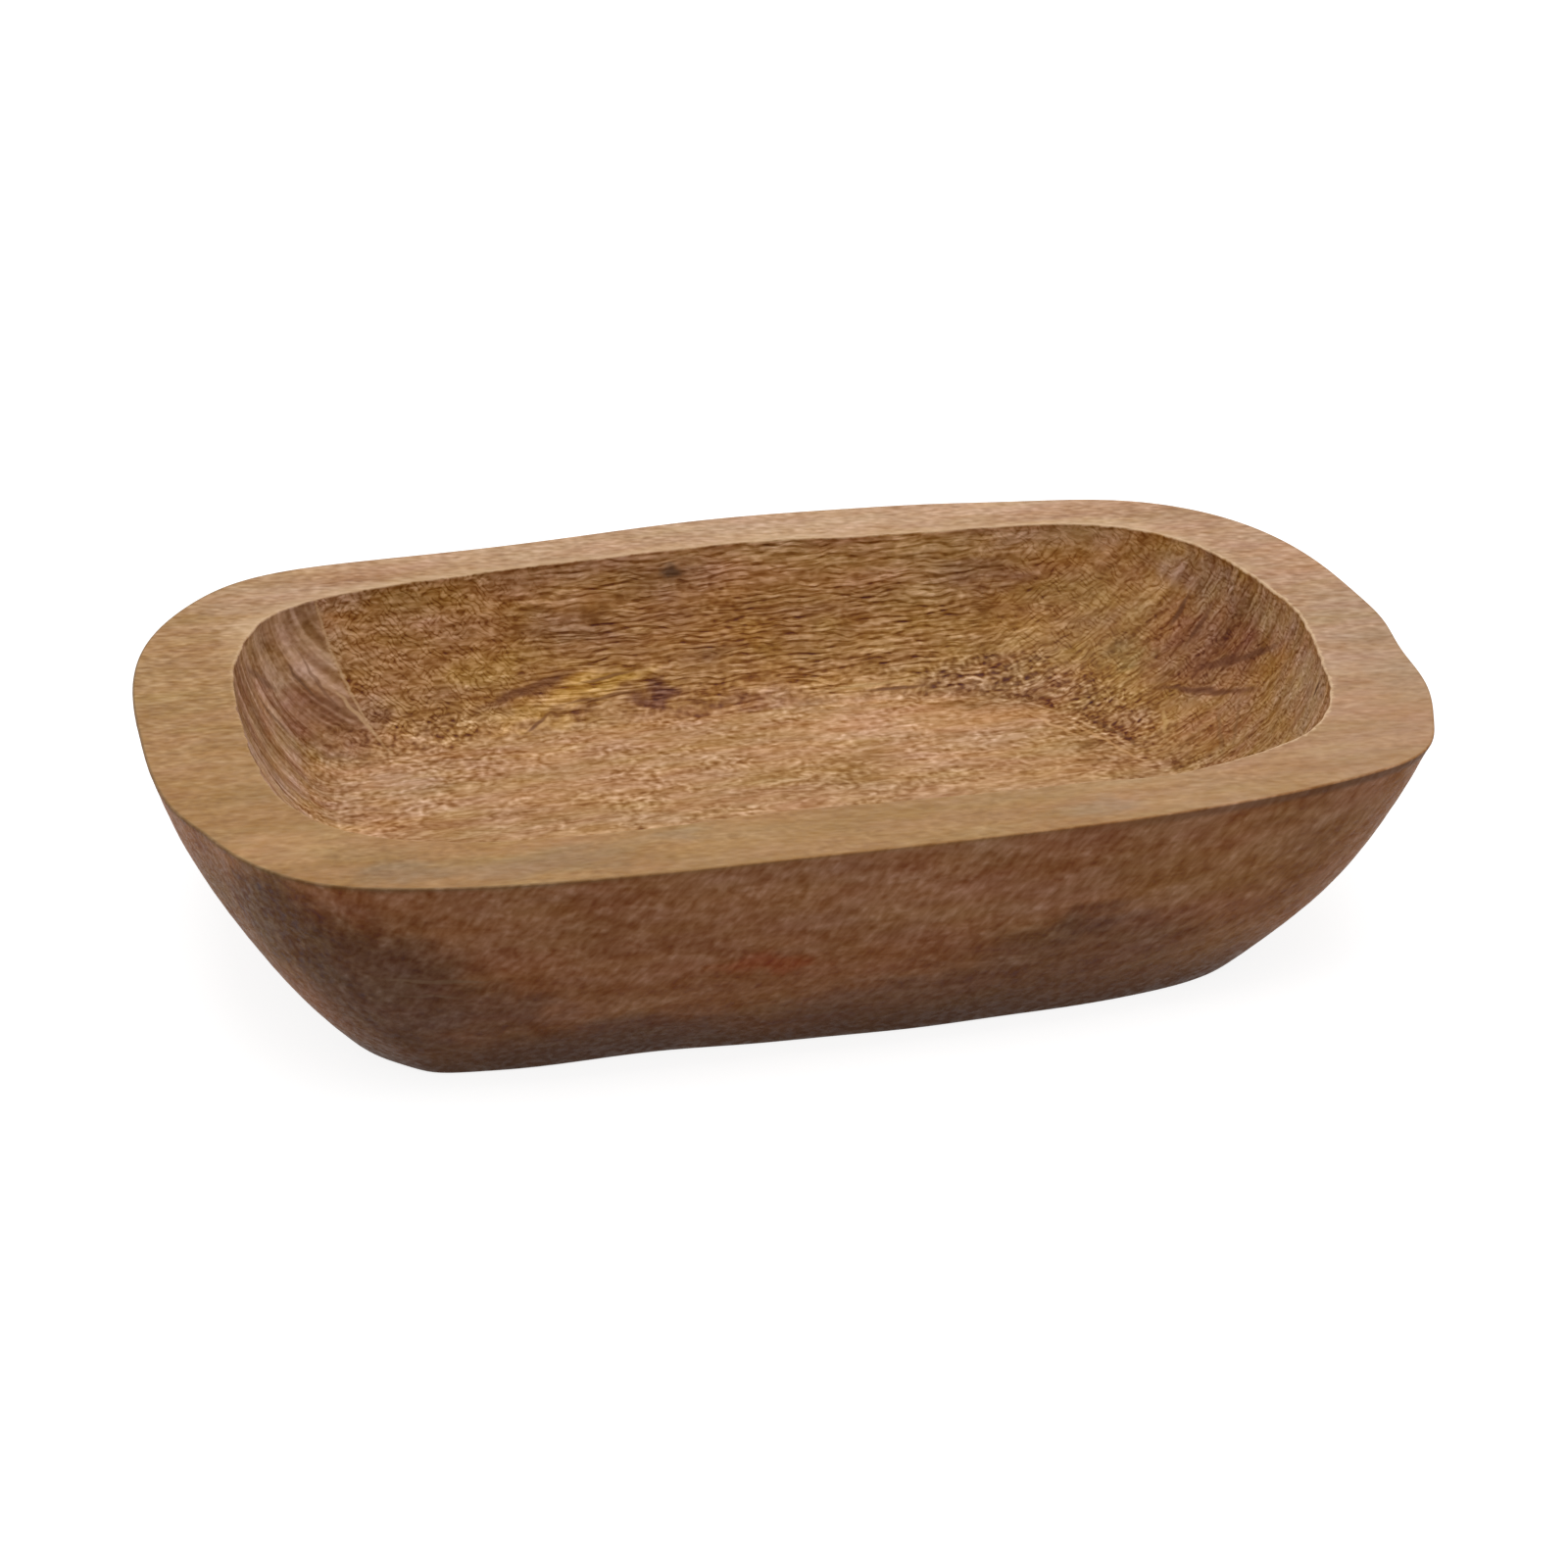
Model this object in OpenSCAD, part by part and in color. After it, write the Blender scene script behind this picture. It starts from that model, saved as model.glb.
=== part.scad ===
// Dough bowl, carved by hand from one block of hardwood.
// +X runs along the bowl, +Y across it towards the back, +Z up. The origin is on the table,
// under the middle of the rim. All lengths are in millimetres.

/* [Bowl] */
// Length of the rim, end to end
bowl_length = 305; // [240:1:380]
// Width of the rim, side to side
bowl_width = 207; // [170:1:260]
// Height of the rim above the table
bowl_height = 57.4; // [48:0.1:75]
// Thickness of the wood under the hollow
floor_thickness = 20; // [12:0.5:26]

/* [Rim] */
// Width of the flat rim at the left end
rim_left = 24.2; // [16:0.1:30]
// Width of the flat rim at the right end
rim_right = 19.4; // [14:0.1:28]
// Width of the flat rim along the front
rim_front = 21.8; // [14:0.1:28]
// Width of the flat rim along the back
rim_back = 18.8; // [14:0.1:28]
// Radius that is rubbed onto the edges of the rim
rim_edge_radius = 0.7; // [0.4:0.1:3]

/* [Foot] */
// How far the flat underside stands in from the left end of the rim
foot_in_left = 35.4; // [24:0.1:50]
// How far the flat underside stands in from the right end of the rim
foot_in_right = 48.6; // [24:0.1:55]
// How far the flat underside stands in from the front of the rim
foot_in_front = 21.6; // [14:0.1:32]
// How far the flat underside stands in from the back of the rim
foot_in_back = 22.6; // [14:0.1:32]
// Radius that is rubbed onto the edge of the underside
foot_edge_radius = 1.3; // [0.5:0.1:4]

/* [Hollow] */
// How far the floor stands in from the mouth at the left end
floor_in_left = 23; // [16:0.1:36]
// How far the floor stands in from the mouth at the right end
floor_in_right = 34; // [16:0.1:44]
// How far the floor stands in from the mouth along the front
floor_in_front = 24; // [14:0.1:32]
// How far the floor stands in from the mouth along the back
floor_in_back = 23.4; // [14:0.1:32]

/* [Hand work] */
// How strongly the outlines swell and dip as the hand left them, where 0 is a true oval
carving_strength = 1; // [0:0.1:1.5]
// Points round each outline
points_round = 96; // [48:12:132]
// Rings down each wall
rings_down = 8; // [4:1:12]

/* [Hidden] */

// Squareness of each oval, along its length and across it: 2 is an ellipse, and more is squarer
rim_squareness = [4.7, 2.75];
mouth_squareness = [5.4, 2.7];
foot_squareness = [6.5, 4];
floor_squareness = [3.6, 2.8];

// Swells and dips of each oval: the direction from the middle and the spread to either side,
// both in degrees, and the share of the radius that the wood stands out, or in where it is negative
rim_carving_shares = [
    [359, 8, 0.005], [59, 7, -0.019], [86, 13, 0.027], [113, 14, -0.028], [129, 8, 0.022],
    [211, 6, -0.01], [228, 6, 0.011], [301, 12, -0.015], [317, 7, 0.025], [346, 9, -0.01]
];
mouth_carving_shares = [
    [2, 13, 0.015], [65, 14, -0.038], [86, 10, 0.019], [120, 14, -0.032], [137, 7, 0.014],
    [219, 18, 0.015], [263, 10, -0.022], [298, 6, 0.024], [336, 15, -0.013]
];
foot_carving_shares = [
    [201, 8, -0.032], [229, 3, 0.012], [248, 11, -0.032], [280, 9, 0.013], [306, 7, -0.01], [334, 9, 0.011]
];
floor_carving_shares = [[27, 20, -0.07], [141, 12, 0.07]];

// Share of the outer wall's slope that is even from rim to underside. The rest tucks under
// near the table. At the left end, at the right end and along the sides
left_slope_share = 0.48;
right_slope_share = 0.61;
side_slope_share = 0.58;
tuck_power = 3;

// Roundness of the hollow's wall: 1 is a straight slope and 2 a quarter of an ellipse
end_roundness = 1.6;
side_roundness = 1.3;

// How far the hollow's cutter runs past the rim
cut_overrun = 1;
// Steps in a rubbed edge, and steps that find the radius of an oval
edge_steps = 3;
radius_steps = 12;

// Height at which the walls meet the rubbed edge of the rim, where the bowl is widest
shoulder_z = bowl_height - rim_edge_radius;
left_end = -bowl_length / 2;
front_side = -bowl_width / 2;
// Each outline's left, right, front and back
rim_box = [left_end, -left_end, front_side, -front_side];
mouth_box = [
    rim_box[0] + rim_left, rim_box[1] - rim_right,
    rim_box[2] + rim_front, rim_box[3] - rim_back
];
foot_box = [
    rim_box[0] + foot_in_left, rim_box[1] - foot_in_right,
    rim_box[2] + foot_in_front, rim_box[3] - foot_in_back
];
floor_box = [
    mouth_box[0] + floor_in_left, mouth_box[1] - floor_in_right,
    mouth_box[2] + floor_in_front, mouth_box[3] - floor_in_back
];

angles = [for (i = [0 : points_round - 1]) 360 * i / points_round];
rim_outline = outline(rim_squareness, rim_carving_shares, rim_box);
mouth_outline = outline(mouth_squareness, mouth_carving_shares, mouth_box);
foot_outline = outline(foot_squareness, foot_carving_shares, foot_box);
floor_outline = outline(floor_squareness, floor_carving_shares, floor_box);

function total(values, i = 0) = i == len(values) ? 0 : values[i] + total(values, i + 1);
function mix(from, to, share) = from + (to - from) * share;

// Radius of a unit oval in the direction c, s, found by Newton's method
function oval_radius(c, s, squareness, r = 1, steps = radius_steps) =
    steps == 0 ? r :
    let (
        x_part = pow(abs(r * c), squareness[0]),
        y_part = pow(abs(r * s), squareness[1]),
        slope = (squareness[0] * x_part + squareness[1] * y_part) / r
    )
    oval_radius(c, s, squareness, r - (x_part + y_part - 1) / slope, steps - 1);

// What the hand carving adds to the radius in the direction a, as a share of it
function carving_share(a, rows) = total([
    for (row = rows)
        let (away = (a - row[0] + 540) % 360 - 180)
        row[2] * exp(-pow(away / row[1], 2))
]);

// Points stretched so that they just fill a box of left, right, front and back
function fitted(points, box) =
    let (
        low_x = min([for (p = points) p[0]]),
        high_x = max([for (p = points) p[0]]),
        low_y = min([for (p = points) p[1]]),
        high_y = max([for (p = points) p[1]])
    )
    [for (p = points) [
        mix(box[0], box[1], (p[0] - low_x) / (high_x - low_x)),
        mix(box[2], box[3], (p[1] - low_y) / (high_y - low_y))
    ]];

function outline(squareness, carving_shares, box) = fitted([
    for (a = angles)
        let (
            plain = oval_radius(cos(a), sin(a), squareness),
            r = plain * (1 + carving_strength * carving_share(a, carving_shares))
        )
        r * [cos(a), sin(a)]
], box);

// One ring of a wall: each point moved out from the middle by push, or in where it is negative
function ring(points, push, z) = [
    for (p = points) let (q = p * (1 + push / norm(p))) [q[0], q[1], z]
];

// The outer wall's outline at a height above the table
function outer_outline(z) = [
    for (i = [0 : points_round - 1])
        let (
            down_share = max(0, 1 - z / shoulder_z),
            end_share = pow(cos(angles[i]), 2),
            end_slope_share = cos(angles[i]) > 0 ? right_slope_share : left_slope_share,
            slope_share = mix(side_slope_share, end_slope_share, end_share),
            in_share = mix(pow(down_share, tuck_power), down_share, slope_share)
        )
        mix(rim_outline[i], foot_outline[i], in_share)
];

// The hollow's outline at a height above the table
function hollow_outline(z) = [
    for (i = [0 : points_round - 1])
        let (
            depth_share = (shoulder_z - z) / (shoulder_z - floor_thickness),
            down_share = min(1, max(0, depth_share)),
            roundness = mix(side_roundness, end_roundness, pow(cos(angles[i]), 2)),
            in_share = 1 - pow(1 - pow(down_share, roundness), 1 / roundness)
        )
        mix(mouth_outline[i], floor_outline[i], in_share)
];

// A closed solid through rings that are listed from the bottom up
module solid_of_rings(rings) {
    n = points_round;
    last = len(rings) - 1;
    polyhedron(
        points = [for (r = rings) each r],
        faces = [
            [for (i = [0 : n - 1]) i],
            [for (i = [0 : n - 1]) last * n + n - 1 - i],
            for (j = [0 : last - 1], i = [0 : n - 1])
                let (a = j * n + i, b = j * n + (i + 1) % n)
                each [[a, a + n, b + n], [a, b + n, b]]
        ],
        convexity = 4
    );
}

// The block with its outside shaped: flat underside, bulging wall, flat top, rubbed edges
module shaped_block() {
    low_rings = [
        for (k = [0 : edge_steps - 1])
            let (
                turn = 90 * k / edge_steps,
                z = foot_edge_radius * (1 - cos(turn))
            )
            ring(outer_outline(z), -foot_edge_radius * (1 - sin(turn)), z)
    ];
    wall_rings = [
        for (k = [0 : rings_down])
            let (z = mix(foot_edge_radius, shoulder_z, k / rings_down))
            ring(outer_outline(z), 0, z)
    ];
    top_rings = [
        for (k = [1 : edge_steps])
            let (
                turn = 90 * k / edge_steps,
                z = shoulder_z + rim_edge_radius * sin(turn)
            )
            ring(outer_outline(z), -rim_edge_radius * (1 - cos(turn)), z)
    ];
    solid_of_rings([each low_rings, each wall_rings, each top_rings]);
}

// The hollow as it is cut out: floor, wall that curves into it, and a flare that rubs the mouth's edge
module hollow() {
    wall_rings = [
        for (k = [0 : rings_down])
            let (z = mix(floor_thickness, shoulder_z, 1 - cos(90 * k / rings_down)))
            ring(hollow_outline(z), 0, z)
    ];
    half_turn_z = shoulder_z + rim_edge_radius * sin(45);
    flare_rings = [
        ring(mouth_outline, rim_edge_radius * (1 - cos(45)), half_turn_z),
        ring(mouth_outline, rim_edge_radius + cut_overrun, bowl_height + cut_overrun)
    ];
    solid_of_rings([each wall_rings, each flare_rings]);
}

module bowl() {
    color([0.55, 0.38, 0.25])
    difference() {
        shaped_block();
        hollow();
    }
}

bowl();
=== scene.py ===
"""The dough bowl as it looks: one block of hardwood, hollowed and shaped by hand, on a pale table."""

import math

import bpy
import numpy as np
from mathutils import Euler, Matrix, Vector, noise


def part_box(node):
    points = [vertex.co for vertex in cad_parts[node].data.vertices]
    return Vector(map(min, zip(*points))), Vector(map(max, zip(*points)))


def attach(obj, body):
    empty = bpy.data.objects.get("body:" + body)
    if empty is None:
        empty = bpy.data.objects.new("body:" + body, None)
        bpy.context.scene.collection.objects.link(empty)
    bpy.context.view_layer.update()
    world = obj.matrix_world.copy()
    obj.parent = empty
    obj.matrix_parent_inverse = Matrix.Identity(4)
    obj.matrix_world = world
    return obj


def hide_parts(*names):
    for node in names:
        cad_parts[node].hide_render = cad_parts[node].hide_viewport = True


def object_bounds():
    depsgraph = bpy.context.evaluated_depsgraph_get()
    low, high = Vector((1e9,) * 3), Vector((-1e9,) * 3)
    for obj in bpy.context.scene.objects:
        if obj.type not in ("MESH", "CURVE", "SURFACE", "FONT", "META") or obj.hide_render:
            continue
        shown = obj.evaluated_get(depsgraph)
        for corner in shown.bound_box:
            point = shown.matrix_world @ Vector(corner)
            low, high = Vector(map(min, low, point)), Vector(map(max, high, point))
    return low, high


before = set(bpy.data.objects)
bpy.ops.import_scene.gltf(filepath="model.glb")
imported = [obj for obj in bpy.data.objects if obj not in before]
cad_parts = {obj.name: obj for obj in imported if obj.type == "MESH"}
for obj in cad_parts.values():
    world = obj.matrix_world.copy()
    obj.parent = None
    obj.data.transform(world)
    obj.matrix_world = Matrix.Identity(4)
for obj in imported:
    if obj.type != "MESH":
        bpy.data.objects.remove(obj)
cad_low, cad_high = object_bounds()
scene = bpy.context.scene

mm = 0.001

# The camera.
# It stands in front of the bowl and a little to its left, a metre away, and looks down on it.
# The angles, the distance and the picture's place come from fitting the rim's two outlines.
photo_side_px = 1600
camera_azimuth = math.radians(-13.07)
camera_elevation = math.radians(24.5)
camera_roll = math.radians(-0.58)
camera_distance = 1005.6 * mm
focal_px = 4276
rim_middle = Vector((-0.7 * mm, -1.1 * mm, cad_high.z))
rim_middle_px = (790.3, 685.3)

backward = Vector((
    math.sin(camera_azimuth) * math.cos(camera_elevation),
    -math.cos(camera_azimuth) * math.cos(camera_elevation),
    math.sin(camera_elevation),
))
level_right = Vector((math.cos(camera_azimuth), math.sin(camera_azimuth), 0))
level_up = backward.cross(level_right)
camera_right = level_right * math.cos(camera_roll) + level_up * math.sin(camera_roll)
camera_up = level_up * math.cos(camera_roll) - level_right * math.sin(camera_roll)
metres_per_px = camera_distance / focal_px
right_of_middle = (rim_middle_px[0] - photo_side_px / 2) * metres_per_px
above_middle = (photo_side_px / 2 - rim_middle_px[1]) * metres_per_px

camera_data = bpy.data.cameras.new("camera")
camera_data.sensor_width = 36
camera_data.lens = camera_data.sensor_width * focal_px / photo_side_px
camera_data.clip_start = 10 * mm
camera = bpy.data.objects.new("camera", camera_data)
camera_place = (
    rim_middle + backward * camera_distance - camera_right * right_of_middle - camera_up * above_middle
)
camera.matrix_world = Matrix.Translation(camera_place) @ Matrix(
    (camera_right, camera_up, backward)
).transposed().to_4x4()
scene.collection.objects.link(camera)
scene.camera = camera

# The bowl's shape.
# The real bowl is one block of hardwood. Its outside was sawn and rasped, its hollow was cut with
# a gouge and scraped, and its edges were rubbed round. The cuts left swells, facets and waves.
bowl_low, bowl_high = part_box("bowl")
bowl_height = bowl_high.z
floor_thickness = 20 * mm
rim_left = 24.2 * mm
rim_right = 19.4 * mm
rim_front = 21.8 * mm
rim_back = 18.8 * mm
rim_edge_radius = 0.7 * mm
foot_in_left = 35.4 * mm
foot_in_right = 48.6 * mm
foot_in_front = 21.6 * mm
foot_in_back = 22.6 * mm
foot_edge_radius = 1.3 * mm
floor_in_left = 23 * mm
floor_in_right = 34 * mm
floor_in_front = 24 * mm
floor_in_back = 23.4 * mm
shoulder_z = bowl_height - rim_edge_radius

# Squareness of each oval along its length and across it, where 2 is an ellipse
rim_squareness = (4.7, 2.75)
mouth_squareness = (5.4, 2.7)
foot_squareness = (6.5, 4)
floor_squareness = (3.6, 2.8)

# Swells and dips of each oval: direction and spread in degrees, and the share of the radius
rim_carving_shares = (
    (359, 8, 0.005), (59, 7, -0.019), (86, 13, 0.027), (113, 14, -0.028), (129, 8, 0.022),
    (211, 6, -0.01), (228, 6, 0.011), (301, 12, -0.015), (317, 7, 0.025), (346, 9, -0.01),
)
mouth_carving_shares = (
    (2, 13, 0.015), (65, 14, -0.038), (86, 10, 0.019), (120, 14, -0.032), (137, 7, 0.014),
    (219, 18, 0.015), (263, 10, -0.022), (298, 6, 0.024), (336, 15, -0.013),
)
foot_carving_shares = (
    (201, 8, -0.032), (229, 3, 0.012), (248, 11, -0.032),
    (280, 9, 0.013), (306, 7, -0.01), (334, 9, 0.011),
)
floor_carving_shares = ((27, 20, -0.07), (141, 12, 0.07))

# Share of the outside's slope that is even from rim to underside. The rest tucks under
left_slope_share = 0.48
right_slope_share = 0.61
side_slope_share = 0.58
tuck_power = 3
# Roundness of the hollow's wall, where 1 is a straight slope and 2 a quarter of an ellipse
end_roundness = 1.6
side_roundness = 1.3

points_round = 480
radius_steps = 12
angles = np.linspace(0, 2 * np.pi, points_round, endpoint=False)
end_share = np.cos(angles) ** 2


def mix(start, end, share):
    return start + (end - start) * share


def oval_radius(squareness):
    """Radius of a unit oval at each angle, found by Newton's method."""
    along = np.cos(angles)
    across = np.sin(angles)
    radius = np.ones(points_round)
    for _ in range(radius_steps):
        x_part = np.abs(radius * along) ** squareness[0]
        y_part = np.abs(radius * across) ** squareness[1]
        slope = (squareness[0] * x_part + squareness[1] * y_part) / radius
        radius = radius - (x_part + y_part - 1) / slope
    return radius


def carved_outline(squareness, carving_shares, box):
    """An oval with its swells and dips, stretched to fill a box of left, right, front and back."""
    radius = oval_radius(squareness)
    swell = np.zeros(points_round)
    for direction, spread, share in carving_shares:
        away = (np.degrees(angles) - direction + 540) % 360 - 180
        swell += share * np.exp(-((away / spread) ** 2))
    points = (radius * (1 + swell))[:, None] * np.stack([np.cos(angles), np.sin(angles)], 1)
    shares = (points - points.min(0)) / (points.max(0) - points.min(0))
    low = np.array([box[0], box[2]])
    high = np.array([box[1], box[3]])
    return mix(low, high, shares)


rim_box = (bowl_low.x, bowl_high.x, bowl_low.y, bowl_high.y)
mouth_box = (
    rim_box[0] + rim_left, rim_box[1] - rim_right, rim_box[2] + rim_front, rim_box[3] - rim_back
)
foot_box = (
    rim_box[0] + foot_in_left, rim_box[1] - foot_in_right,
    rim_box[2] + foot_in_front, rim_box[3] - foot_in_back,
)
floor_box = (
    mouth_box[0] + floor_in_left, mouth_box[1] - floor_in_right,
    mouth_box[2] + floor_in_front, mouth_box[3] - floor_in_back,
)
rim_outline = carved_outline(rim_squareness, rim_carving_shares, rim_box)
mouth_outline = carved_outline(mouth_squareness, mouth_carving_shares, mouth_box)
foot_outline = carved_outline(foot_squareness, foot_carving_shares, foot_box)
floor_outline = carved_outline(floor_squareness, floor_carving_shares, floor_box)

# The mouth was cut free by hand, so its line wobbles a little. Each wobble has its count round the
# mouth, its reach and its start
wobbles = ((23, 0.11 * mm, 0.4), (41, 0.1 * mm, 2.1), (67, 0.08 * mm, 5.0), (97, 0.06 * mm, 1.3))
mouth_wobble = sum(reach * np.sin(count * angles + start) for count, reach, start in wobbles)
mouth_outline *= 1 + (mouth_wobble / np.linalg.norm(mouth_outline, axis=1))[:, None]


def outer_outline(z):
    """The outside's outline at a height above the table."""
    down = max(0, 1 - z / shoulder_z)
    end_slope = np.where(np.cos(angles) > 0, right_slope_share, left_slope_share)
    slope_share = mix(side_slope_share, end_slope, end_share)
    in_share = mix(down ** tuck_power, down, slope_share)
    return mix(rim_outline, foot_outline, in_share[:, None])


def hollow_outline(down):
    """The hollow's outline at a share of its depth."""
    roundness = mix(side_roundness, end_roundness, end_share)
    in_share = 1 - np.maximum(0, 1 - down ** roundness) ** (1 / roundness)
    return mix(mouth_outline, floor_outline, in_share[:, None])


rings = []
ways = []


def add_ring(outline, push, z, way):
    """One ring of points, moved out from the middle by push. Way says where it lies on the bowl:
    0 the underside's middle, 1 its edge, 2 the rim's outer edge, 3 the mouth, 4 the floor's edge
    and 5 the floor's middle."""
    radius = np.linalg.norm(outline, axis=1, keepdims=True)
    moved = outline * (1 + push / radius)
    rings.append(np.column_stack([moved, np.full(points_round, z)]))
    ways.append(way)


underside_steps = 12
foot_steps = 4
outside_steps = 50
rim_edge_steps = 5
rim_steps = 18
mouth_steps = 5
wall_steps = 48
floor_steps = 46
wall_step_power = 1.5

for step in range(1, underside_steps):
    share = step / underside_steps
    add_ring(outer_outline(0) * share, -foot_edge_radius * share, 0, share)
for step in range(foot_steps):
    turn = math.pi / 2 * step / foot_steps
    z = foot_edge_radius * (1 - math.cos(turn))
    add_ring(outer_outline(z), -foot_edge_radius * (1 - math.sin(turn)), z, 1 + 0.1 * step / foot_steps)
for step in range(outside_steps + 1):
    share = step / outside_steps
    z = mix(foot_edge_radius, shoulder_z, share)
    add_ring(outer_outline(z), 0, z, mix(1.1, 1.95, share))
for step in range(1, rim_edge_steps + 1):
    turn = math.pi / 2 * step / rim_edge_steps
    z = shoulder_z + rim_edge_radius * math.sin(turn)
    push = -rim_edge_radius * (1 - math.cos(turn))
    add_ring(rim_outline, push, z, mix(1.95, 2.05, step / rim_edge_steps))
rim_radius = np.linalg.norm(rim_outline, axis=1, keepdims=True)
mouth_radius = np.linalg.norm(mouth_outline, axis=1, keepdims=True)
rim_inset = rim_outline * (1 - rim_edge_radius / rim_radius)
mouth_inset = mouth_outline * (1 + rim_edge_radius / mouth_radius)
for step in range(1, rim_steps):
    share = step / rim_steps
    add_ring(mix(rim_inset, mouth_inset, share), 0, bowl_height, mix(2.05, 2.95, share))
for step in range(mouth_steps):
    turn = math.pi / 2 * step / mouth_steps
    z = shoulder_z + rim_edge_radius * math.cos(turn)
    push = rim_edge_radius * (1 - math.sin(turn))
    add_ring(mouth_outline, push, z, mix(2.95, 3.05, step / mouth_steps))
for step in range(wall_steps + 1):
    share = step / wall_steps
    down = math.sin(math.pi / 2 * share) ** wall_step_power
    z = mix(shoulder_z, floor_thickness, down)
    add_ring(hollow_outline(down), 0, z, mix(3.05, 4, share))
for step in range(1, floor_steps):
    share = step / floor_steps
    add_ring(floor_outline * (1 - share), 0, floor_thickness, mix(4, 5, share))

surface = np.array(rings)
ring_count = len(rings)
way_of_ring = np.array(ways)


def lumps(points, size, seed):
    """Smooth lumps between 0 and 1, of a size along x, y and z."""
    shift = Vector((seed * 7.3, seed * 3.1, seed * 5.7))
    scaled = points.reshape(-1, 3) / np.array(size)
    values = [noise.noise(Vector(p) + shift) for p in scaled]
    return np.clip(0.5 + 0.7 * np.array(values), 0, 1).reshape(points.shape[:-1])


def between(values, low, high):
    """Goes smoothly from 0 at low to 1 at high."""
    share = np.clip((values - low) / (high - low), 0, 1)
    return share * share * (3 - 2 * share)


# Outward normals of the ring surface
down_the_rings = np.gradient(surface, axis=0)
round_the_ring = np.roll(surface, -1, axis=1) - np.roll(surface, 1, axis=1)
normals = np.cross(round_the_ring, down_the_rings)
normals /= np.linalg.norm(normals, axis=2, keepdims=True)

# How far each point lies on each surface, from 0 to 1
way_at = np.repeat(way_of_ring[:, None], points_round, axis=1)
on_outside = between(way_at, 1.05, 1.2) * (1 - between(way_at, 1.9, 2.0))
on_rim = between(way_at, 2.0, 2.1) * (1 - between(way_at, 2.9, 3.0))
on_wall = between(way_at, 3.0, 3.12) * (1 - between(way_at, 3.85, 4.0))
on_floor = between(way_at, 3.9, 4.1)

# Waves and rasp marks, each with its depth and its size along x, y and z
outside_waves = 0.35 * mm * lumps(surface, (34 * mm, 20 * mm, 14 * mm), 1)
outside_rasping = 0.12 * mm * lumps(surface, (7 * mm, 3.5 * mm, 3 * mm), 2)
rim_waves = 0.2 * mm * lumps(surface, (30 * mm, 16 * mm, 20 * mm), 3)
rim_rasping = 0.05 * mm * lumps(surface, (6 * mm, 2.4 * mm, 3 * mm), 4)
floor_waves = 0.3 * mm * lumps(surface, (30 * mm, 14 * mm, 20 * mm), 5)
floor_scraping = 0.1 * mm * lumps(surface, (9 * mm, 2.6 * mm, 3 * mm), 6)

# Gouge facets run down the hollow's wall side by side, each dished across its width
facet_count = 44
facet_depth = 0.45 * mm
facet_drift = 0.6
drifts_round = 5
steps_round = np.linalg.norm(np.roll(mouth_outline, -1, axis=0) - mouth_outline, axis=1)
share_round = np.cumsum(steps_round) / steps_round.sum()
facet_place = share_round * facet_count + facet_drift * np.sin(share_round * 2 * np.pi * drifts_round)
facet_share = facet_place[None, :] + 0.5 * (lumps(surface, (20 * mm,) * 3, 7) - 0.5)
across_facet = facet_share - np.floor(facet_share)
facet_dish = 4 * across_facet * (1 - across_facet)
facet_strength = between(lumps(surface, (26 * mm,) * 3, 8), 0.3, 0.75)
wall_facets = facet_depth * facet_dish * facet_strength
wall_scraping = 0.14 * mm * lumps(surface, (5 * mm, 2.6 * mm, 2.6 * mm), 9)

cut_depth = (
    on_outside * (outside_waves + outside_rasping)
    + on_rim * (rim_waves + rim_rasping)
    + on_wall * (wall_facets + wall_scraping)
    + on_floor * (floor_waves + floor_scraping)
)
surface = surface - normals * cut_depth[:, :, None]

vertices = surface.reshape(-1, 3).tolist()
underside_middle = len(vertices)
vertices.append((0, 0, 0))
floor_middle = len(vertices)
vertices.append((0, 0, surface[-1, :, 2].mean()))
faces = []
for ring in range(ring_count - 1):
    start = ring * points_round
    for i in range(points_round):
        after = (i + 1) % points_round
        faces.append((start + i, start + after, start + points_round + after, start + points_round + i))
last_start = (ring_count - 1) * points_round
for i in range(points_round):
    after = (i + 1) % points_round
    faces.append((underside_middle, after, i))
    faces.append((floor_middle, last_start + i, last_start + after))

bowl_mesh = bpy.data.meshes.new("carved_bowl")
bowl_mesh.from_pydata(vertices, [], faces)
way_attribute = bowl_mesh.attributes.new("way", "FLOAT", "POINT")
way_attribute.data.foreach_set("value", np.append(way_at.ravel(), [0, 5]).astype(np.float32))
bowl_mesh.polygons.foreach_set("use_smooth", np.ones(len(faces), bool))
bowl_mesh.update()
carved_bowl = bpy.data.objects.new("carved_bowl", bowl_mesh)
scene.collection.objects.link(carved_bowl)
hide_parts("bowl")
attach(carved_bowl, "root")

# The wood.
# An open-pored brown hardwood, oiled but not polished. Its layers stand upright and run along the
# bowl, so lines run along the rim and the sides, and down the walls at the two ends.

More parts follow.
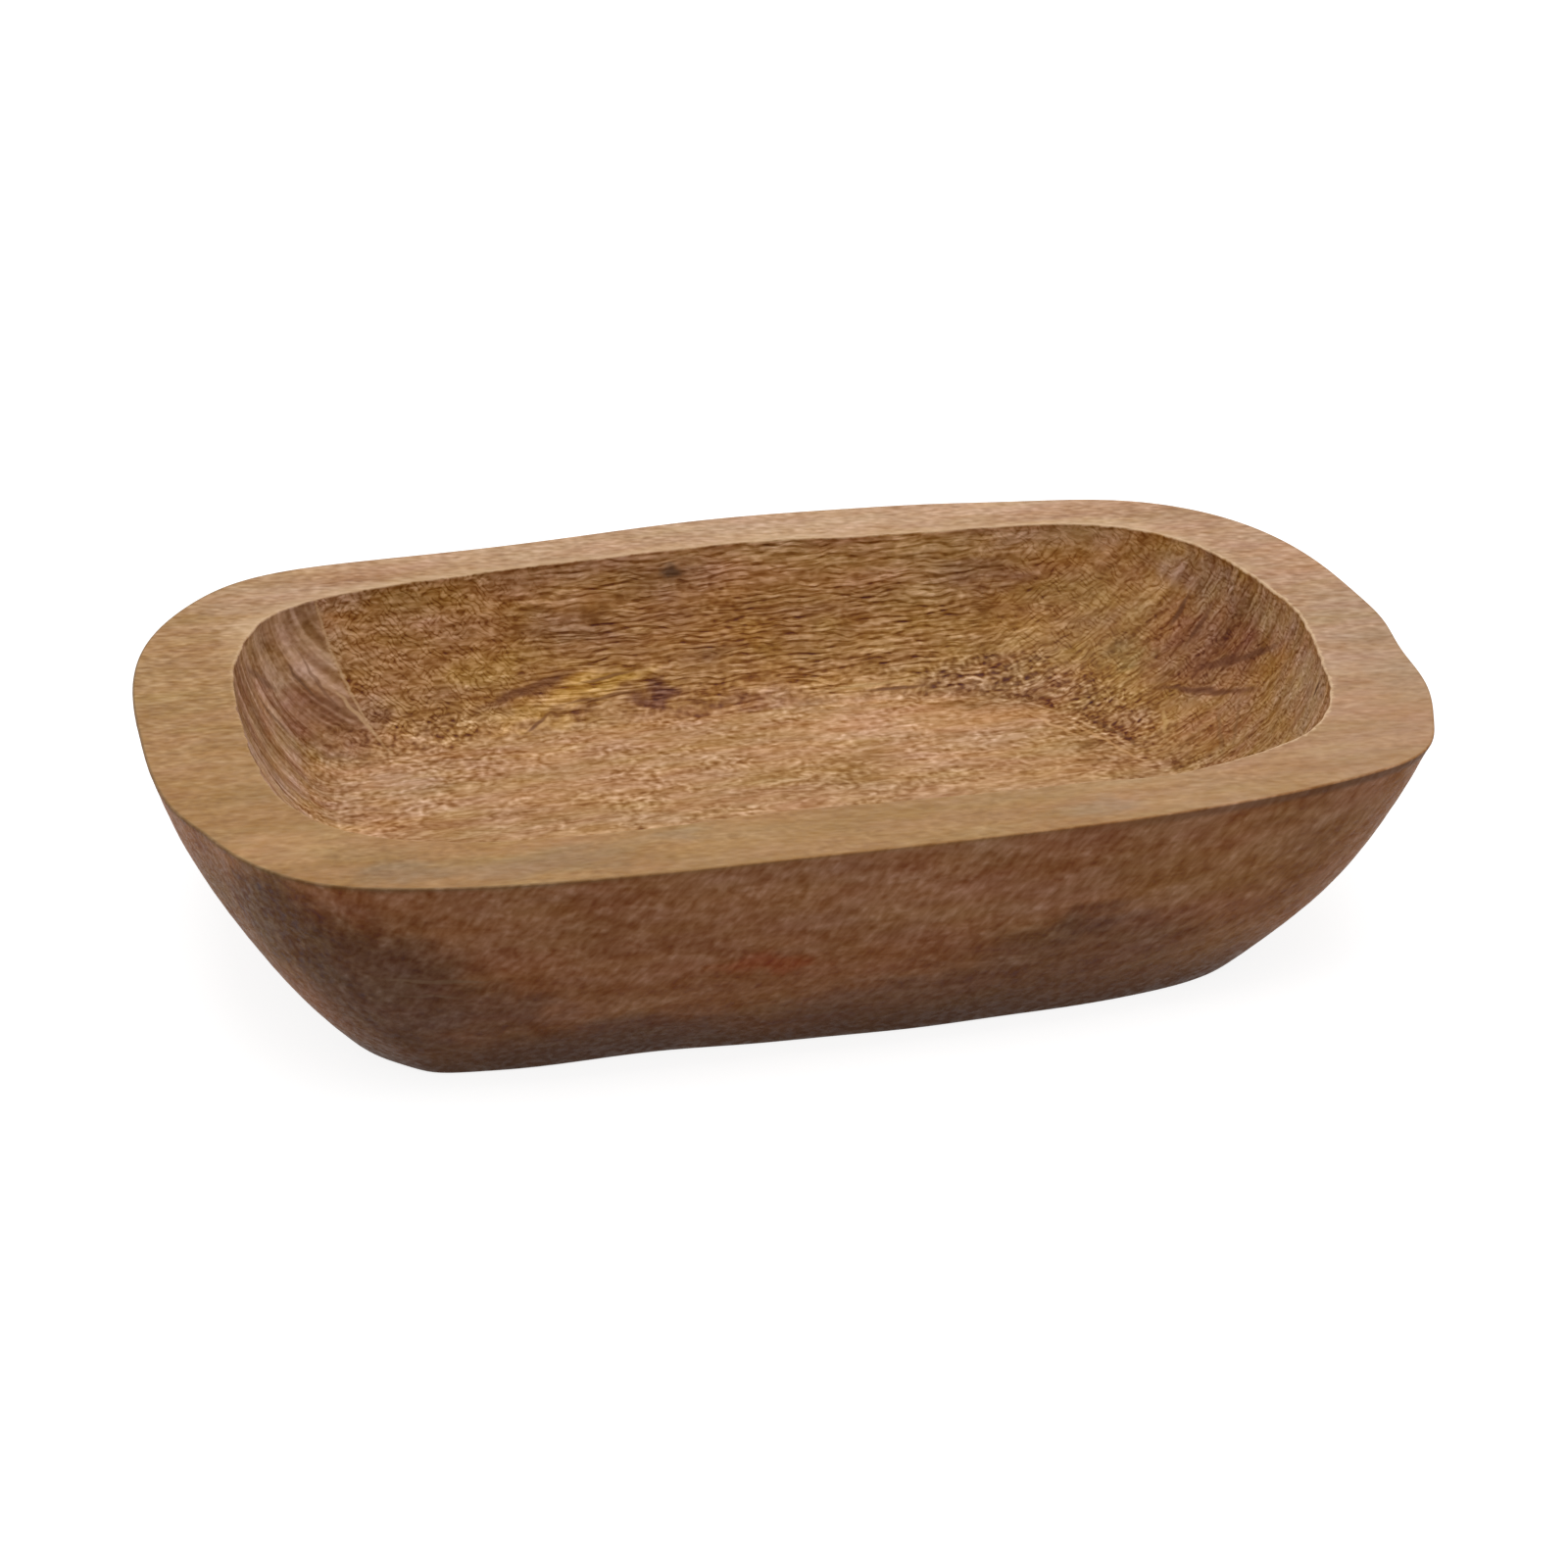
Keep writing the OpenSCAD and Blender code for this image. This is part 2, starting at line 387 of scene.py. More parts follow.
# Patches that show in this bowl: a pale streak like a flame, red heartwood, pale sapwood and stains.
# Each has its centre and half sizes in millimetres, its turn in degrees, its colour and its strength
patches = (
    ((-34, 68, 27), (26, 9, 3), (0, -10, 0), (208, 161, 86), 0.8),
    ((-62, 71.5, 34), (15, 6, 4), (0, -8, 0), (182, 136, 70), 0.6),
    ((-50, 68, 28.2), (15, 4, 1.8), (0, -13, 14), (112, 68, 34), 0.6),
    ((-46, 62.5, 24), (18, 7, 2.6), (0, -5, 0), (200, 154, 92), 0.7),
    ((-14, 66.4, 24.4), (8, 5, 2.8), (0, 0, 0), (92, 46, 24), 0.85),
    ((4, 64, 21.8), (17, 4, 2), (0, 0, 0), (132, 84, 50), 0.6),
    ((42, 65, 24), (26, 5, 3), (0, 0, 0), (186, 142, 84), 0.5),
    ((-86, 36, 20), (11, 13, 5), (0, 0, 0), (194, 158, 132), 0.5),
    ((-66, 10, 20), (30, 9, 4), (0, 0, 0), (164, 121, 74), 0.5),
    ((-50, 48, 20), (14, 7, 3), (0, 0, 0), (204, 158, 116), 0.5),
    ((-13.5, 9.5, 20), (9, 9, 3), (0, 0, 0), (158, 118, 74), 0.5),
    ((120, 30, 40.5), (24, 28, 14), (0, -17, -59), (128, 82, 52), 0.85),
    ((124, 46, 50), (12, 24, 7), (0, 0, 0), (150, 113, 82), 0.7),
    ((127, -24, 48), (12, 26, 12), (0, 0, 0), (190, 155, 127), 0.7),
    ((132, 12, 51), (8, 22, 7), (0, 0, 0), (164, 128, 98), 0.7),
    ((92, 75, 54), (34, 8, 5), (0, 0, 0), (196, 154, 116), 0.75),
    ((20, 82, 55), (110, 8, 4), (0, 0, 0), (182, 142, 100), 0.5),
    ((76, 58, 22), (26, 14, 6), (0, 0, 0), (132, 92, 50), 0.75),
    ((93, 26, 21), (14, 36, 5), (0, 0, 0), (142, 99, 55), 0.75),
    ((88, 46, 24), (10, 8, 4), (0, 0, 0), (134, 92, 48), 0.5),
    ((42, 46, 20), (36, 13, 3), (0, 0, 0), (206, 160, 120), 0.6),
    ((28, 63, 23), (24, 7, 4), (0, 0, 0), (200, 152, 102), 0.65),
    ((-18, 78.6, 42.3), (20, 8, 8), (0, 0, 0), (142, 96, 56), 0.5),
    ((62, 67, 30), (36, 8, 7), (0, 0, 0), (184, 136, 78), 0.5),
    ((16, 73, 37), (18, 7, 5), (0, 0, 0), (180, 130, 76), 0.45),
    ((-9, 82, 50), (18, 8, 6), (0, 0, 0), (128, 88, 60), 0.35),
    ((-36, 77, 43), (14, 8, 6), (0, 0, 0), (132, 92, 54), 0.45),
    ((74, 77, 46), (16, 8, 5), (0, 0, 0), (130, 86, 56), 0.55),
    ((-94, 61, 28), (10, 10, 8), (0, 0, 0), (134, 91, 54), 0.7),
    ((-103, 66, 44), (10, 12, 11), (0, 0, 0), (184, 146, 112), 0.6),
    ((-74, 51, 20), (26, 8, 3), (0, 0, 0), (154, 110, 76), 0.5),
    ((-102, 30, 21), (8, 16, 5), (0, 0, 0), (160, 122, 92), 0.6),
    ((104.8, 49.7, 31.2), (8, 8, 6), (0, 0, 0), (138, 112, 72), 0.7),
    ((121.6, -15.9, 35.7), (18, 26, 18), (0, 0, 0), (164, 125, 82), 0.6),
    ((108, 0, 23), (14, 24, 6), (0, 0, 0), (146, 106, 60), 0.7),
    ((112, 12, 26.5), (10, 16, 6), (0, 0, 0), (160, 118, 62), 0.6),
    ((102, 58, 34), (20, 16, 14), (0, 0, 0), (156, 114, 66), 0.5),
    ((-108, 57, 33), (14, 10, 10), (0, 0, 0), (140, 92, 66), 0.45),
    ((-24, -98, 28), (14, 8, 4), (0, 0, 0), (196, 104, 62), 0.6),
    ((-111, -88, 26), (26, 20, 26), (0, 0, 0), (122, 84, 60), 0.85),
    ((-58, -86, 8), (34, 14, 9), (0, 0, 0), (132, 90, 66), 0.6),
    ((86, -96, 40), (40, 16, 14), (0, 0, 0), (200, 142, 88), 0.5),
    ((100, -88, 24), (24, 16, 8), (0, 0, 0), (190, 130, 88), 0.5),
    ((50, -92, 20), (34, 16, 14), (0, 0, 0), (146, 98, 66), 0.8),
    ((16, -90, 11), (46, 16, 11), (0, 0, 0), (140, 92, 62), 0.7),
    ((118, -80, 34), (26, 30, 18), (0, 0, 0), (174, 120, 76), 0.5),
    ((-130, -78, 42), (22, 18, 17), (0, 0, 0), (98, 59, 26), 0.8),
    ((-142, -62, 32), (20, 34, 22), (0, 0, 0), (129, 88, 50), 0.6),
    ((-105, -89, 57), (13, 7, 5), (0, 0, 0), (146, 117, 84), 0.7),
    ((-74, -92, 57), (28, 8, 5), (0, 0, 0), (150, 118, 82), 0.7),
    ((-42, -84, 57), (9, 4, 5), (0, 0, 0), (158, 128, 96), 0.5),
    ((51.7, -94, 57), (12, 5, 5), (0, 0, 0), (164, 134, 104), 0.6),
    ((-106.8, 76, 57), (30, 12, 5), (0, 0, 0), (182, 146, 116), 0.6),
    ((10, 93, 57), (132, 12, 5), (0, 0, 0), (200, 162, 127), 0.5),
    ((-63, 79, 49), (16, 7, 9), (0, 0, 0), (184, 138, 88), 0.5),
    ((-118, 60, 56), (11, 12, 4.5), (0, 0, 0), (206, 168, 134), 0.45),
    ((-128, -72, 57), (12, 13, 5), (0, 0, 0), (188, 141, 94), 0.5),
    ((2, 71.5, 34.5), (11, 6, 4), (0, 0, 0), (126, 84, 50), 0.45),
    ((32, 71, 33), (22, 7, 5), (0, 0, 0), (186, 138, 82), 0.4),
    ((10, 20, 20), (20, 10, 4), (0, 0, 0), (166, 122, 74), 0.45),
    ((50, -97, 29), (11, 8, 6), (0, 0, 0), (118, 80, 56), 0.55),
    ((-84, -89, 21), (15, 14, 9), (0, 0, 0), (126, 84, 60), 0.6),
    # Invented, where the picture hides the wood: inside the front wall, the back and the right end
    ((-30, -70, 34), (34, 9, 7), (0, 0, 0), (138, 92, 58), 0.5),
    ((44, -70, 42), (28, 9, 6), (0, 0, 0), (180, 132, 82), 0.5),
    ((40, 98, 34), (42, 16, 12), (0, 0, 0), (172, 118, 78), 0.5),
    ((-60, 96, 22), (38, 16, 12), (0, 0, 0), (142, 94, 64), 0.6),
    ((-14, 99, 46), (32, 10, 5), (0, 0, 0), (182, 128, 84), 0.4),
    ((100, 88, 28), (28, 20, 14), (0, 0, 0), (146, 98, 68), 0.5),
    ((-136, 50, 38), (20, 26, 10), (0, 0, 0), (176, 124, 84), 0.5),
    ((128, 10, 26), (22, 34, 12), (0, 0, 0), (150, 100, 68), 0.5),
    # The right end of the rim
    ((144, 34, 57), (8, 18, 5), (0, 0, 0), (184, 142, 106), 0.5),
    ((146, -14, 57), (14, 46, 5), (0, 0, 0), (172, 140, 110), 0.7),
)
# A patch is at its full strength out to its core, and has gone at its end, as shares of its size.
# Lumps move its edge in and out
patch_core = 0.5
patch_end = 1.15
patch_edge_reach = (4.0, 2.6, 2.6)
patch_edge_size = (5 * mm, 3.4 * mm, 3.4 * mm)
ragged_place = surface / mm
for axis, reach in enumerate(patch_edge_reach):
    ragged_place[:, :, axis] += reach * 2 * (lumps(surface, patch_edge_size, 20 + axis) - 0.5)
stain = np.zeros(surface.shape)
bare = np.ones(surface.shape[:2])
for centre, size, turn, tint, strength in patches:
    spin = np.array(Euler([math.radians(a) for a in turn]).to_matrix())
    away = np.linalg.norm((ragged_place - centre) @ spin / size, axis=2)
    share = strength * (1 - between(away, patch_core, patch_end))
    stain = mix(stain, np.array(tint) / 255, share[:, :, None])
    bare *= 1 - share

# Every point of the mesh keeps the colour of its patches, and how much plain wood shows through
stain_attribute = bowl_mesh.attributes.new("stain", "FLOAT_VECTOR", "POINT")
stain_attribute.data.foreach_set("vector", np.append(stain.ravel(), np.zeros(6)).astype(np.float32))
bare_attribute = bowl_mesh.attributes.new("bare", "FLOAT", "POINT")
bare_attribute.data.foreach_set("value", np.append(bare.ravel(), [1, 1]).astype(np.float32))

wood = bpy.data.materials.new("oiled_hardwood")
wood.use_nodes = True
wood_nodes = wood.node_tree.nodes
wood_links = wood.node_tree.links
wood_nodes.clear()


def feed(socket, value):
    """Gives a socket either another node's result or a plain value."""
    if isinstance(value, bpy.types.NodeSocket):
        wood_links.new(value, socket)
    else:
        socket.default_value = value


def calc(operation, first, second=0.0):
    made = wood_nodes.new("ShaderNodeMath")
    made.operation = operation
    feed(made.inputs[0], first)
    feed(made.inputs[1], second)
    return made.outputs[0]


def times(first, second):
    return calc("MULTIPLY", first, second)


def rise(value, low, high, least=0.0, most=1.0):
    """Goes smoothly from least, where the value is low, to most, where it is high."""
    made = wood_nodes.new("ShaderNodeMapRange")
    made.interpolation_type = "SMOOTHSTEP"
    feed(made.inputs["Value"], value)
    made.inputs["From Min"].default_value = low
    made.inputs["From Max"].default_value = high
    made.inputs["To Min"].default_value = least
    made.inputs["To Max"].default_value = most
    return made.outputs["Result"]


def blend(first, second, share):
    """Mixes two colours, with all of the second where the share is 1."""
    made = wood_nodes.new("ShaderNodeMix")
    made.data_type = "RGBA"
    feed(made.inputs[0], share)
    feed(made.inputs[6], first)
    feed(made.inputs[7], second)
    return made.outputs[2]


def rise_along(low, high, least=0.0, most=1.0):
    """Rises between two places along the bowl, from its left end to its right, in millimetres."""
    return rise(along.outputs["X"], low * mm, high * mm, least, most)


def rise_across(low, high, least=0.0, most=1.0):
    """Rises between two places across the bowl, from its front to its back, in millimetres."""
    return rise(along.outputs["Y"], low * mm, high * mm, least, most)


def rise_up(low, high, least=0.0, most=1.0):
    """Rises between two heights above the table, in millimetres."""
    return rise(along.outputs["Z"], low * mm, high * mm, least, most)


def lined_up(place, size, turn=(0, 0, 0), centre=(0, 0, 0)):
    """Coordinates in which a lump of this size and turn is one unit long. All in millimetres."""
    made = wood_nodes.new("ShaderNodeMapping")
    made.vector_type = "TEXTURE"
    feed(made.inputs["Vector"], place)
    made.inputs["Location"].default_value = [c * mm for c in centre]
    made.inputs["Rotation"].default_value = [math.radians(a) for a in turn]
    made.inputs["Scale"].default_value = [s * mm for s in size]
    return made.outputs["Vector"]


def grain(place, size, seed=0, turn=(0, 0, 0), detail=2.0, roughness=0.5):
    made = wood_nodes.new("ShaderNodeTexNoise")
    feed(made.inputs["Vector"], lined_up(place, size, turn, (seed * 331, seed * 173, seed * 97)))
    made.inputs["Scale"].default_value = 1.0
    made.inputs["Detail"].default_value = detail
    made.inputs["Roughness"].default_value = roughness
    return made


def colour(red, green, blue):
    """A colour as it is read off a screen, in steps of 0 to 255."""
    return [value / 255 for value in (red, green, blue)] + [1]


def vector_sum(first, second, third):
    """First times second, plus third."""
    made = wood_nodes.new("ShaderNodeVectorMath")
    made.operation = "MULTIPLY_ADD"
    feed(made.inputs[0], first)
    feed(made.inputs[1], second)
    feed(made.inputs[2], third)
    return made.outputs[0]


def moved_by(place, made_noise, reach):
    """The place, moved to and fro by a noise, at most by reach along x, y and z."""
    centred = wood_nodes.new("ShaderNodeVectorMath")
    centred.operation = "SUBTRACT"
    feed(centred.inputs[0], made_noise.outputs["Color"])
    centred.inputs[1].default_value = (0.5, 0.5, 0.5)
    return vector_sum(centred.outputs[0], [2 * r * mm for r in reach], place)


def attribute(name):
    made = wood_nodes.new("ShaderNodeAttribute")
    made.attribute_name = name
    return made


on_bowl = wood_nodes.new("ShaderNodeTexCoord").outputs["Object"]
way = attribute("way").outputs["Fac"]
along = wood_nodes.new("ShaderNodeSeparateXYZ")
feed(along.inputs[0], on_bowl)

# Grain that waves a little along its length, and ragged places for the edges of patches
waving = moved_by(on_bowl, grain(on_bowl, (22, 10, 10), 1, detail=1.0), (4, 1.6, 1.6))
wild = moved_by(on_bowl, grain(on_bowl, (7, 4, 4), 2, detail=1.0), (1.4, 0.9, 0.9))
ragged = moved_by(on_bowl, grain(on_bowl, (5, 3, 3), 3, detail=3.0, roughness=0.65), (3.5, 2.4, 2.4))


def patch(centre, size, turn=(0, 0, 0), core=patch_core, place=ragged):
    """A ragged patch, 1 at its core and 0 outside its size, which runs from its middle."""
    reach = wood_nodes.new("ShaderNodeVectorMath")
    reach.operation = "LENGTH"
    feed(reach.inputs[0], lined_up(place, size, turn, centre))
    return rise(reach.outputs["Value"], core, patch_end, 1.0, 0.0)


def scratch(start, end, facing, width):
    """A thin wavering line between two points, in millimetres, on wood that faces a given way."""
    run = Vector(end) - Vector(start)
    along_it = run.normalized()
    across_it = along_it.cross(Vector(facing)).normalized()
    axes = Matrix((along_it, across_it.cross(along_it), across_it)).transposed()
    turn = [math.degrees(a) for a in axes.to_euler()]
    middle = (Vector(start) + Vector(end)) / 2
    return patch(middle, (run.length / 2, 4, width / 2), turn, 0.4, wild)


def swing(made_noise, amount):
    """How far the noise stands above or below its middle, times an amount."""
    return times(calc("SUBTRACT", made_noise.outputs["Fac"], 0.5), amount)


def crisp_swing(made_noise, amount):
    """Like swing, but most of it lies near one end or the other, as in clear lines."""
    return times(calc("SUBTRACT", rise(made_noise.outputs["Fac"], 0.38, 0.62), 0.5), amount)


def reach_along(direction):
    """How far a place lies along a direction."""
    made = wood_nodes.new("ShaderNodeVectorMath")
    made.operation = "DOT_PRODUCT"
    feed(made.inputs[0], on_bowl)
    made.inputs[1].default_value = direction
    return made.outputs["Value"]


def ripples(direction, spacing, wander, size, seed, least=0.42, most=0.6):
    """Fine dark lines side by side along a direction, that wander, break off and start again."""
    phase = times(reach_along(direction), 2 * math.pi / (spacing * mm))
    phase = calc("ADD", phase, swing(grain(on_bowl, size, seed, detail=1.0), wander))
    dark_line = rise(calc("SINE", phase), 0.0, 0.95)
    average_dark = 0.36
    presence = rise(grain(on_bowl, size, seed + 50).outputs["Fac"], least, most)
    return times(calc("SUBTRACT", average_dark, dark_line), presence)


# Where each part of the bowl is. The wall and the floor pass into each other unevenly
uneven = swing(grain(on_bowl, (9, 6, 6), 4, detail=3.0), 0.5)
uneven_way = calc("ADD", way, uneven)
past_rim_edge = rise(way, 1.98, 2.04)
ragged_way = calc("ADD", way, swing(grain(on_bowl, (1.6, 1.6, 1.6), 8, detail=1.0), 0.09))
hollow_share = rise(ragged_way, 2.98, 3.03)
floor_share = rise(uneven_way, 3.74, 4.0)
wall_share = times(hollow_share, rise(uneven_way, 3.74, 4.0, 1, 0))
crease_share = times(rise(uneven_way, 3.55, 3.85), rise(uneven_way, 4.02, 4.3, 1, 0))


def by_region(outside, rim, wall, floor):
    """A strength that has one value on each of the bowl's surfaces."""
    made = rise(way, 1.98, 2.04, outside, rim)
    made = calc("ADD", made, times(hollow_share, wall - rim))
    return calc("ADD", made, times(floor_share, floor - wall))


# The gouge left a seam in the hollow's left back corner. To the left of it the wood is greyer
across_seam = (0.79, 0.61, 0.04)
seam_mm = -33.2
seam_place = calc("ADD", reach_along(across_seam), times(uneven, 4 * mm))
left_end = times(hollow_share, rise(seam_place, (seam_mm - 1.5) * mm, (seam_mm + 0.5) * mm, 1, 0))
left_end = times(left_end, rise(uneven_way, 3.6, 3.95, 1, 0))
left_end = times(left_end, rise_along(-84, -66, 1, 0))
seam_line = times(wall_share, times(
    rise(seam_place, (seam_mm - 0.7) * mm, (seam_mm - 0.2) * mm),
    rise(seam_place, seam_mm * mm, (seam_mm + 0.5) * mm, 1, 0)
))
seam_line = times(seam_line, rise_across(50, 56))
right_end = times(wall_share, rise_along(84, 108))
side_walls = times(wall_share, calc("SUBTRACT", 1.0, calc("MAXIMUM", left_end, right_end)))

rim_tan = colour(165, 124, 78)
rim_pink = colour(177, 137, 104)
wall_brown = colour(166, 119, 68)
wall_gold = colour(158, 113, 58)
wall_grey = colour(168, 130, 98)
low_wall_brown = colour(152, 106, 56)
high_wall_tan = colour(182, 133, 88)
floor_tan = colour(178, 134, 92)
outside_brown = colour(190, 128, 86)
seam_tan = colour(204, 168, 128)
knot_brown = colour(88, 62, 42)
# Light tans for the mouth's edge: partly wear, partly a painted highlight
rubbed_and_highlit_back_tan = colour(216, 182, 142)
rubbed_and_highlit_mouth_tan = colour(216, 182, 144)
# Colours for the rim's outer edge: partly wear, partly a painted highlight
left_edge_olive = colour(112, 94, 62)
right_edge_gold = colour(152, 114, 62)
# Browns painted as shade: under the rim's edge, and at the foot and underside
under_rim_shade_brown = colour(96, 64, 42)
foot_shade_brown = colour(72, 46, 30)
wood_colour = blend(rim_tan, rim_pink, rise(reach_along((1, 1.2, 0)), -140 * mm, 120 * mm))
wood_colour = blend(outside_brown, wood_colour, past_rim_edge)
wall_colour = blend(wall_brown, wall_gold, rise_along(-20, 90))
wall_colour = blend(wall_colour, low_wall_brown, rise_up(34, 21, 0, 0.4))
wall_colour = blend(wall_colour, high_wall_tan, rise_up(36, 50, 0, 0.35))
wood_colour = blend(wood_colour, wall_colour, hollow_share)
wood_colour = blend(wood_colour, wall_grey, left_end)
wood_colour = blend(wood_colour, floor_tan, floor_share)

bare_share = attribute("bare").outputs["Fac"]
wood_colour = vector_sum(wood_colour, bare_share, attribute("stain").outputs["Vector"])

# Broad clouds of redder, more golden, and darker wood
red_cloud = swing(grain(waving, (26, 9, 9), 5, detail=2.0), by_region(0.6, 0.55, 0.7, 0.6))
wood_colour = vector_sum(red_cloud, (0.06, -0.06, -0.04), wood_colour)
gold_cloud = swing(grain(waving, (20, 7, 7), 6, detail=2.0), by_region(0.6, 0.45, 1.0, 0.7))
wood_colour = vector_sum(gold_cloud, (0.02, 0.02, -0.14), wood_colour)
dark_cloud = grain(waving, (34, 9, 11), 7, detail=2.0)

# Torn, speckled wood where the wall meets the floor
torn = calc("MAXIMUM", patch((70, 60, 24), (26, 12, 6)), patch((94, 34, 22), (18, 36, 5)))
torn = calc("MAXIMUM", torn, patch((-78, 59, 23), (24, 12, 5)))
torn = calc("MAXIMUM", torn, times(patch((-88, 8, 20), (14, 12, 4)), 0.4))
torn = calc("MAXIMUM", torn, times(crease_share, 0.4))
torn = times(torn, rise(way, 4.0, 4.1, 1.0, 0.35))

# Light and dark of the fibres: layers, streaks, fine lines, short speckles, and rasp marks
layers = grain(waving, (40, 2.4, 14), 10, detail=2.0, roughness=0.6)
streaks = grain(on_bowl, (80, 2.6, 80), 11, turn=(0, 0, -4), detail=2.0, roughness=0.65)
long_lines = grain(waving, (8, 0.9, 1.0), 12, detail=1.0)
fine_lines = grain(wild, (2.6, 1.0, 0.95), 13, detail=0.5)
mid_lumps = grain(wild, (5.5, 2.4, 2.6), 14, detail=1.0)
speckles = grain(wild, (1.7, 1.9, 1.2), 15, detail=0.5)
teeth = grain(on_bowl, (6, 1.6, 1.4), 17, turn=(0, -54, 20), detail=1.0)
flecks = grain(wild, (1.5, 1.3, 1.0), 18, detail=0.5)
ticks = grain(on_bowl, (2.6, 1.3, 1.5), 16, turn=(0, 0, -14), detail=0.5)
speckle_zone = rise(grain(on_bowl, (16, 11, 9), 19, detail=2.0).outputs["Fac"], 0.38, 0.64, 0.35, 1.3)

# Ripples that the scraper left: in rows up the walls, and as a weave at the corners and the right
right_zone = rise_along(92, 112)
weave_zone = times(wall_share, rise_along(62, 88))
past_left_end = calc("SUBTRACT", 1.0, left_end)
left_corner = times(times(wall_share, rise_along(-30, -66)), past_left_end)
back_wall = times(times(wall_share, rise_across(30, 50)), past_left_end)
right_wall = times(wall_share, right_zone)
corner_weave = times(weave_zone, calc("SUBTRACT", 1.0, right_zone))
plain_back = times(back_wall, calc("SUBTRACT", 1.0, calc("MAXIMUM", left_corner, weave_zone)))
not_left = calc("SUBTRACT", 1.0, times(left_end, 0.45))
rim_share = calc("SUBTRACT", past_rim_edge, hollow_share)
rim_share = times(rim_share, rise_across(-80, 40, 0.45, 1.1))
# Each has its place, the direction across its lines, their spacing, wander and the size of their
# breaks, a seed, the least and most noise at which they show, and their depth
ripple_rows = (
    (plain_back, (0, 0.53, 0.85), 1.9, 15, (13, 6, 5), 20, 0.4, 0.56, 0.17),
    (plain_back, (0.06, 0.53, 0.85), 1.35, 18, (8, 5, 4), 21, 0.42, 0.58, 0.14),
    (left_end, (0.1, 1, 0), 2.6, 6, (24, 8, 20), 22, 0.36, 0.56, 0.1),
    (right_wall, (0.18, 0.95, 0.24), 2.8, 16, (6, 5, 5), 23, 0.42, 0.58, 0.13),
    (corner_weave, (0.44, -0.79, -0.42), 1.45, 17, (6, 5, 5), 24, 0.4, 0.57, 0.12),
    (weave_zone, (0.66, 0.11, 0.74), 1.3, 20, (4, 4, 3), 25, 0.42, 0.6, 0.1),
    (left_corner, (0.67, 0.51, 0.53), 1.35, 17, (4, 3, 3), 26, 0.4, 0.56, 0.14),
    (left_corner, (-0.67, 0.28, 0.64), 1.3, 17, (4, 3, 3), 27, 0.44, 0.6, 0.1),
)

at_ends = calc("MAXIMUM", left_end, times(right_end, 0.5))
calmer_weave = rise(weave_zone, 0.0, 1.0, 1.0, 0.5)
finer_weave = rise(weave_zone, 0.0, 1.0, 1.0, 0.85)
fine_share = times(not_left, finer_weave)
lightness = times(swing(dark_cloud, by_region(0.22, 0.12, 0.24, 0.16)), calmer_weave)
for part in (
    swing(layers, by_region(0.26, 0.05, 0.2, 0.14)),
    crisp_swing(streaks, times(at_ends, 0.18)),
    swing(long_lines, times(side_walls, 0.46)),
    times(crisp_swing(fine_lines, by_region(0.03, 0.02, 0.1, 0.07)), fine_share),
    times(swing(mid_lumps, by_region(0.3, 0.1, 0.2, 0.33)), calmer_weave),
    times(swing(speckles, by_region(0.22, 0.12, 0.24, 0.43)), times(speckle_zone, fine_share)),
    swing(teeth, by_region(0.36, 0.0, 0.0, 0.0)),
    swing(ticks, times(rim_share, 0.26)),
    swing(flecks, calc("MAXIMUM", times(torn, 0.75), times(left_corner, 0.22))),
):
    lightness = calc("ADD", lightness, part)
for where, direction, spacing, wander, size, seed, least, most, depth in ripple_rows:
    rows = ripples(direction, spacing, wander, size, seed, least, most)
    lightness = calc("ADD", lightness, times(rows, times(where, depth)))

# A broken double line along the crease at the foot of the hollow's wall, where the gouge turned:
# painted shade on the wall's foot above a painted highlight at the floor's edge
wobbly_way = calc("ADD", way, times(uneven, 0.12))
crease_marks_presence = rise(grain(on_bowl, (14, 8, 6), 28, detail=2.0).outputs["Fac"], 0.4, 0.55)
crease_painted_shade = times(rise(wobbly_way, 3.87, 3.9), rise(wobbly_way, 3.93, 3.96, 1, 0))
crease_painted_highlight = times(rise(wobbly_way, 3.955, 3.98), rise(wobbly_way, 3.98, 4.0, 1, 0))
crease_shade_dashes = rise(speckles.outputs["Fac"], 0.42, 0.56)
crease_highlight_and_shade = calc("SUBTRACT", times(crease_painted_highlight, 0.14), times(crease_painted_shade, times(crease_shade_dashes, 0.2)))
crease_marks_presence = times(crease_marks_presence, rise_along(40, 84, 0.25, 1.0))
lightness = calc("ADD", lightness, times(crease_highlight_and_shade, crease_marks_presence))
lightness_in_colour = (0.97, 1.03, 1.13)
wood_colour = vector_sum(lightness, lightness_in_colour, wood_colour)

